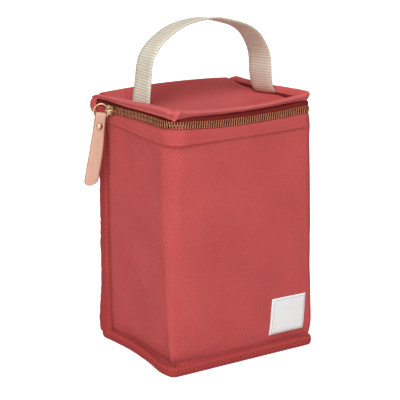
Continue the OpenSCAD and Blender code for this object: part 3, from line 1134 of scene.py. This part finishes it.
def lid_height(u, v):
    """The lid as its edges hold it, before it sags. u runs to the right and v to the rear."""
    def edge(part, share, below):
        return rim_top(Place(None, None, part, share)) - below
    front = edge("front", u, lerp(LID_BELOW_RIM, LID_BELOW_CORNER, ease((u - 0.8) / 0.2)))
    crest = lerp(LID_REAR_LEFT_Z, LID_REAR_RIGHT_Z, u) + LID_REAR_CREST * sqrt(arch(u))
    rear = lerp(crest, LID_RIGHT_Z, ease((u - 0.93) / 0.07))
    left = lerp(edge("left", 1 - v, LID_BELOW_RIM), LID_REAR_LEFT_Z, ease((v - 0.6) / 0.4))
    front_left = RIM_TOP_Z - LID_BELOW_RIM
    front_right = RIM_TOP_Z - LID_BELOW_CORNER
    right = lerp(front_right, LID_RIGHT_Z, ease(v / 0.3))
    back = v ** 1.5
    corners = lerp(lerp(front_left, front_right, u), lerp(LID_REAR_LEFT_Z, LID_RIGHT_Z, u), back)
    trough = LID_TROUGH * bell(u - 0.36, 0.38) * ease(u / 0.15) * ease((1 - u) / 0.2)
    trough *= ease((1 - v) / 0.35) * ease(v / 0.4)
    mound = LID_MOUND * bell(u - 0.86, 0.13) * bell(v - 0.86, 0.26) * ease((1 - u) / 0.08)
    return lerp(front, rear, back) + lerp(left, right, u) - corners - trough + mound * ease((1 - v) / 0.12)


def rear_fall(y):
    """How far the lid's surface rolls down toward the hinge."""
    past = min(max(y - (HINGE_Y - LID_ROLL_R), 0), LID_ROLL_R)
    return LID_ROLL_R - sqrt(LID_ROLL_R ** 2 - past ** 2)


def lid_point(u, y, v):
    """A point of the lid, kept inside the rounded corners of the rim."""
    x = lerp(0.8 - HALF_W, HALF_W - 2, u)
    top = lid_height(u, v)
    z = top - rear_fall(y) * min((top - LID_REAR_LOW_Z) / LID_ROLL_R, 1)
    radius = RIM_R if y < 0 else LID_ROLL_R
    centre = Vector((copysign(HALF_W - 1.4 - radius, x), copysign(HINGE_Y - radius, y)))
    reach = Vector((x, y)) - centre
    if abs(x) > abs(centre.x) and abs(y) > abs(centre.y) and reach.length > radius:
        x, y = centre + reach.normalized() * radius
    return rear_puff(Vector((x, y, z)))


def sag(obj, held):
    """Lets the cloth hang from its held points, and keeps the fall within bounds."""
    before = [v.co.copy() for v in obj.data.vertices]
    group = obj.vertex_groups.new(name="held")
    group.add(held, 1, "REPLACE")
    cloth = obj.modifiers.new("sag", "CLOTH")
    for key, value in LID_CLOTH.items():
        setattr(cloth.settings, key, value)
    cloth.settings.vertex_group_mass = group.name
    cloth.collision_settings.use_collision = False
    for step in range(1, LID_SAG_FRAMES + 1):
        scene.frame_set(step)
    hung = obj.evaluated_get(bpy.context.evaluated_depsgraph_get())
    after = [v.co.copy() for v in hung.data.vertices]
    obj.modifiers.remove(cloth)
    obj.vertex_groups.remove(group)
    scene.frame_set(1)
    lowest = LID_LOWEST_Z * MM
    for vert, start, end in zip(obj.data.vertices, before, after):
        fall = max(start.z - end.z, 0)
        room = max(start.z - lowest, 1e-6)
        vert.co = end
        vert.co.z = start.z - room * tanh(fall / room) if start.z > lowest else start.z


def lid_top():
    """The padded top, which sags between its edges and rolls down to the hinge."""
    front_y = 0.8 - HALF_D
    roll_y = HINGE_Y - LID_ROLL_R
    ys = [lerp(front_y, roll_y, i / LID_ROWS) for i in range(LID_ROWS + 1)]
    turns = [pi / 2 * i / LID_ROLL_ROWS for i in range(1, LID_ROLL_ROWS + 1)]
    ys += [roll_y + LID_ROLL_R * sin(angle) for angle in turns]
    rows = []
    for y in ys:
        v = min((y - front_y) / (roll_y - front_y), 1)
        rows.append([lid_point(j / LID_COLUMNS, y, v) for j in range(LID_COLUMNS + 1)])
    top = grid("lid_top", rows)
    held = [
        i * (LID_COLUMNS + 1) + j
        for i in range(len(ys)) for j in range(LID_COLUMNS + 1)
        if i == 0 or i >= LID_ROWS or j in (0, LID_COLUMNS)
    ]
    sag(top, held)
    thicken(top, LID_T)
    dress(top, RED, "red_cloth", "lid", "lid_panel", "lid_foam", "lid_back_strip")


def lid_liner():
    """The lid's lining, turned up round the foam."""
    turned_up = [(4.6, 200.6), (4.2, 199.4), (4.6, 198.6)]
    under = [(6, 198.5), (14, 198.4), (30, 198.3), (48, 198.2)]
    pan("lid_liner", turned_up + under, "lid", "lid_lining")


def hinge_cloth():
    """The cloth that joins the lid to the back."""
    path = outline(ZIP_R, ZIP_RIGHT_R, REAR_R)
    behind = [p for p in path if p.point.y > ZIP_END_Y - 1]
    behind = [p for p in behind if p.part != "left"] + [p for p in behind if p.part == "left"]

    def point(share, place):
        z = lerp(HINGE_LOW_Z, HINGE_HIGH_Z, share)
        out = 0.3 + 0.7 * arch(share) + 0.15 * ripple(place.point.x, z, 3.3, 9)
        return rear_puff(off(place, out, z))
    strip = thicken(grid("hinge_cloth", net(point, shares(HINGE_ROWS), behind)), 0.5)
    dress(strip, RED, "red_cloth", None, "hinge_strip")
    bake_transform(strip)


# Handle

# The middle of the webbing from its left end to its right one, as x and z
HANDLE_LINE = [
    (-60, 203.5), (-58, 207), (-56, 223), (-54.6, 235.6), (-51, 245), (-42.5, 253.9),
    (-30.1, 261.6), (-16.6, 265.9), (5.5, 267.4), (30, 261.2), (41, 255.5), (46.8, 249.7),
    (52.4, 240.3), (55, 231), (55.8, 218), (57.8, 208), (61, 203),
]


def handle():
    """The webbing carry loop, sewn under the rim at both ends."""
    centre = spline([Vector((x, 0, z)) for x, z in HANDLE_LINE], HANDLE_POINTS)
    section = rounded_section(WEBBING_W, WEBBING_T, crown=0.35)
    rows = []
    for i, (point, tangent) in enumerate(zip(centre, tangents(centre))):
        share = i / (HANDLE_POINTS - 1)
        twist = HANDLE_TWIST * ease((share - 0.62) / 0.3)
        across = flat(sin(twist), cos(twist))
        across = (across - tangent * across.dot(tangent)).normalized()
        roll = HANDLE_ROLL * arch(share)
        leant = across * cos(roll) - across.cross(tangent) * sin(roll)
        rows.append([point + leant * a + leant.cross(tangent) * o for a, o in section])
    loop = grid("webbing_loop", rows, ring=True, caps=True)
    dress(loop, CREAM, "webbing", None, "handle_loop", "handle_foot_left", "handle_foot_right")
    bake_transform(loop)


# Slider and pull

def pull_point(across, front, down):
    """A point across the strap, out of its front and down it from the ring's centre."""
    x_axis = flat(cos(RING_YAW), sin(RING_YAW))
    y_axis = flat(-sin(RING_YAW), cos(RING_YAW))
    along = x_axis * sin(PULL_TILT) - UP * cos(PULL_TILT)
    side = x_axis * cos(PULL_TILT) + UP * sin(PULL_TILT)
    return RING_CENTRE + side * across + y_axis * front + along * down


def leather_pull():
    """A strap folded through the ring, with a short leaf behind and a long one in front."""
    leaf = LEATHER_T / 2
    behind = [(-leaf, 16), (-leaf, 12), (-leaf - 0.05, 9.5), (-1.2, 7.4)]
    turns = [pi * share for share in shares(8)]
    fold = [(-PULL_LOOP_R * cos(a), PULL_LOOP_DROP - PULL_LOOP_R * sin(a)) for a in turns]
    front = [(1.2, 7.4), (leaf + 0.05, 9.5), (leaf, 12), (leaf, 20)]
    tail = [(leaf + 0.8 * ease((down - 20) / 42), down) for down in (30, 40, 50, 60.6)]
    line = spline([flat(n, down) for n, down in behind + fold + front + tail], PULL_POINTS)
    along = lengths(line)
    rows = []
    for i, (p, tangent) in enumerate(zip(line, tangents(line))):
        half = lerp(4.4, 5.6, ease((p.y - 4) / 34))
        to_end = min(along[-1] - along[i], along[i])
        end_r = 5 if i > PULL_POINTS // 2 else 2
        if to_end < end_r:
            half *= sqrt(max(1 - (1 - to_end / end_r) ** 2, 0.02))
        bend = ease((p.y - 30) / 32)
        rows.append([
            pull_point(a + 1.2 * bend, p.x + tangent.y * o, p.y - tangent.x * o + 0.25 * a * bend)
            for a, o in rounded_section(2 * half, LEATHER_T)
        ])
    strap = grid("leather_strap", rows, ring=True, caps=True)
    dress(strap, TAN, "leather", "pull", "leather_pull")
    strap.data.materials.append(TAN_EDGE)
    side = (pull_point(1, 0, 0) - pull_point(0, 0, 0)).normalized()
    for face in strap.data.polygons:
        if abs(face.normal.dot(side)) > 0.5:
            face.material_index = 1


def rivet():
    """A domed rivet through both leaves."""
    head = [(0, 1.9), (0.9, 1.8), (1.7, 1.45), (2.3, 0.9), (2.6, 0.3), (2.6, 0)]
    profile = [(r, LEATHER_T + h) for r, h in head] + [(r, -LEATHER_T - h * 0.5) for r, h in reversed(head)]
    rows = []
    for share in shares(RIVET_SIDES)[:-1]:
        angle = 2 * pi * share
        rows.append([pull_point(r * cos(angle), out, RIVET_DROP + r * sin(angle)) for r, out in profile])
    dome = grid("rivet_dome", rows, closed=True)
    with editing(dome) as work:
        bmesh.ops.remove_doubles(work, verts=work.verts, dist=1e-6)
    face_outward(dome)
    dress(dome, BRASS, "brass", "pull", "pull_rivet")


def metal_nodes():
    """The slider, ring and end stops keep their solids, and the slider and end stops get soft edges."""
    # The end stops take the teeth's dark brass, which is partly painted shade.
    for name, mat in (("zip_slider", BRASS), ("pull_ring", BRASS), ("zip_end_stops", OLD_BRASS_AND_SHADE)):
        solid = frame["nodes"][name]
        solid.data.materials.clear()
        solid.data.materials.append(mat)
        if name != "pull_ring":
            bevel = solid.modifiers.new("soft_edges", "BEVEL")
            bevel.width = 0.15 * MM
            bevel.segments = 2


# Label

def label_point(across, up, out):
    """A point on the leaning label, from its lower left corner."""
    x = LABEL_X + across + LABEL_LEAN * up / LABEL_H
    z = LABEL_Z + up
    share = (x + HALF_W - LABEL_FRONT_START) / LABEL_FRONT_RUN
    place = Place(flat(x, -HALF_D), FORWARD, "front", share)
    return base_bow(off(place, wall_swell(place, z) + out, z))


def label():
    """A bare woven label, sewn on along its edges."""
    def point(a, b):
        edge = min(a, 1 - a, b, 1 - b) * LABEL_H
        rise = 0.25 + 0.75 * ease(edge / 1.2) + 0.2 * ease(edge / 12)
        rise += 0.1 * ripple(a * LABEL_H, b * LABEL_H, 1.8, 8)
        return label_point(LABEL_W * a, LABEL_H * b, rise)
    patch = grid("label_patch", net(point, shares(24), shares(24)))
    dress(patch, WHITE, "label", "bag", "woven_label")
    low = LABEL_MARGIN
    right = LABEL_W - LABEL_MARGIN
    top = LABEL_H - LABEL_MARGIN
    corners = [(low, low), (right, low), (right, top), (low, top), (low, low)]
    frames = []
    for (a0, b0), (a1, b1) in zip(corners, corners[1:]):
        line = [label_point(lerp(a0, a1, share), lerp(b0, b1, share), 1.1) for share in shares(20)]
        frames += frames_on(line, [FORWARD] * len(line), 2.2, 0.8, 0.8)
    stitches = stamp("label_stitches", thread_bead(1.7, 0.4), frames)
    dress(stitches, GREY_THREAD, "label", "bag")


# The whole object

bag_wall()
back_wall()
base_pad()
base_binding()
rear_strip(-1, "strip_left", "rear_strip_left")
rear_strip(1, "strip_right", "rear_strip_right")
lining()
mouth_binding()
facing()
tapes()
teeth()
lid_rim()
lid_top()
lid_liner()
hinge_cloth()
handle()
leather_pull()
rivet()
metal_nodes()
label()
seams("bag_stitches", bag_seams, "bag")
seams("lid_stitches", lid_seams, "lid")


# Studio

WHITE_LIGHT = (1, 1, 1, 1)
SKY_LIGHT = 0.16
FLOOR_GREY = (0.8, 0.8, 0.8, 1)
FLOOR_GLOW = 0.85
FLOOR_HALF = 3000
LAMP_TARGET = Vector((0, 0, 0.12))
# Each lamp's name, its place in metres, its power in watts and its width in metres
LAMPS = (
    ("key", Vector((-0.60, -0.87, 1.53)), 25.4, 1),
    ("front", Vector((0.5, -1.4, 0.6)), 1, 0.9),
    ("left", Vector((-1.35, -0.7, 0.5)), 6.2, 0.9),
    ("back", Vector((1.2, 1.2, 0.7)), 5, 0.9),
)
CAMERA_PLACE = Vector((-665.2, -987.8, 446)) * MM
CAMERA_TARGET = Vector((-2.16, 1.45, 120.2)) * MM
CAMERA_LENS = 137.6


def backdrop(tree, lit, seen):
    """A strength for the light on the object, and one for what the camera or a mirror sees."""
    rays = add(tree, "LightPath", {})
    direct = rays["Is Camera Ray"]
    for name in ("Is Glossy Ray", "Is Transmission Ray"):
        direct = add(tree, "Math", {0: direct, 1: rays[name]}, operation="MAXIMUM")[0]
    return add(tree, "MapRange", {"Value": direct, "To Min": lit, "To Max": seen})[0]


def world():
    room = bpy.data.worlds.new("studio")
    room.use_nodes = True
    sky = room.node_tree.nodes["Background"]
    sky.inputs["Color"].default_value = WHITE_LIGHT
    room.node_tree.links.new(backdrop(room.node_tree, SKY_LIGHT, 1), sky.inputs["Strength"])
    scene.world = room


def floor():
    """A floor that glows to the camera, so that only a soft shadow is left on it."""
    corners = [flat(x * FLOOR_HALF, y * FLOOR_HALF) for x, y in ((-1, -1), (1, -1), (1, 1), (-1, 1))]
    plane = new_object("floor", corners, [(0, 1, 2, 3)])
    mat = bpy.data.materials.new("studio_floor")
    mat.use_nodes = True
    sockets = mat.node_tree.nodes["Principled BSDF"].inputs
    sockets["Roughness"].default_value = 0.9
    sockets["Base Color"].default_value = FLOOR_GREY
    sockets["Emission Color"].default_value = WHITE_LIGHT
    mat.node_tree.links.new(backdrop(mat.node_tree, 0, FLOOR_GLOW), sockets["Emission Strength"])
    plane.data.materials.append(mat)


def set_up(name, data, place, target):
    """Puts a lamp or the camera in its place, turned to the target."""
    obj = bpy.data.objects.new(name, data)
    obj.location = place
    obj.rotation_euler = (target - obj.location).to_track_quat("-Z", "Y").to_euler()
    scene.collection.objects.link(obj)
    return obj


def lamp(name, place, power, size):
    """A soft box that points at the bag."""
    data = bpy.data.lights.new(name, "AREA")
    data.energy = power
    data.shape = "SQUARE"
    data.size = size
    set_up(name, data, place, LAMP_TARGET)


def camera():
    data = bpy.data.cameras.new("camera")
    data.lens = CAMERA_LENS
    bpy.context.scene.camera = set_up("camera", data, CAMERA_PLACE, CAMERA_TARGET)


world()
floor()
for values in LAMPS:
    lamp(*values)
camera()
bpy.context.scene.view_settings.view_transform = "Standard"
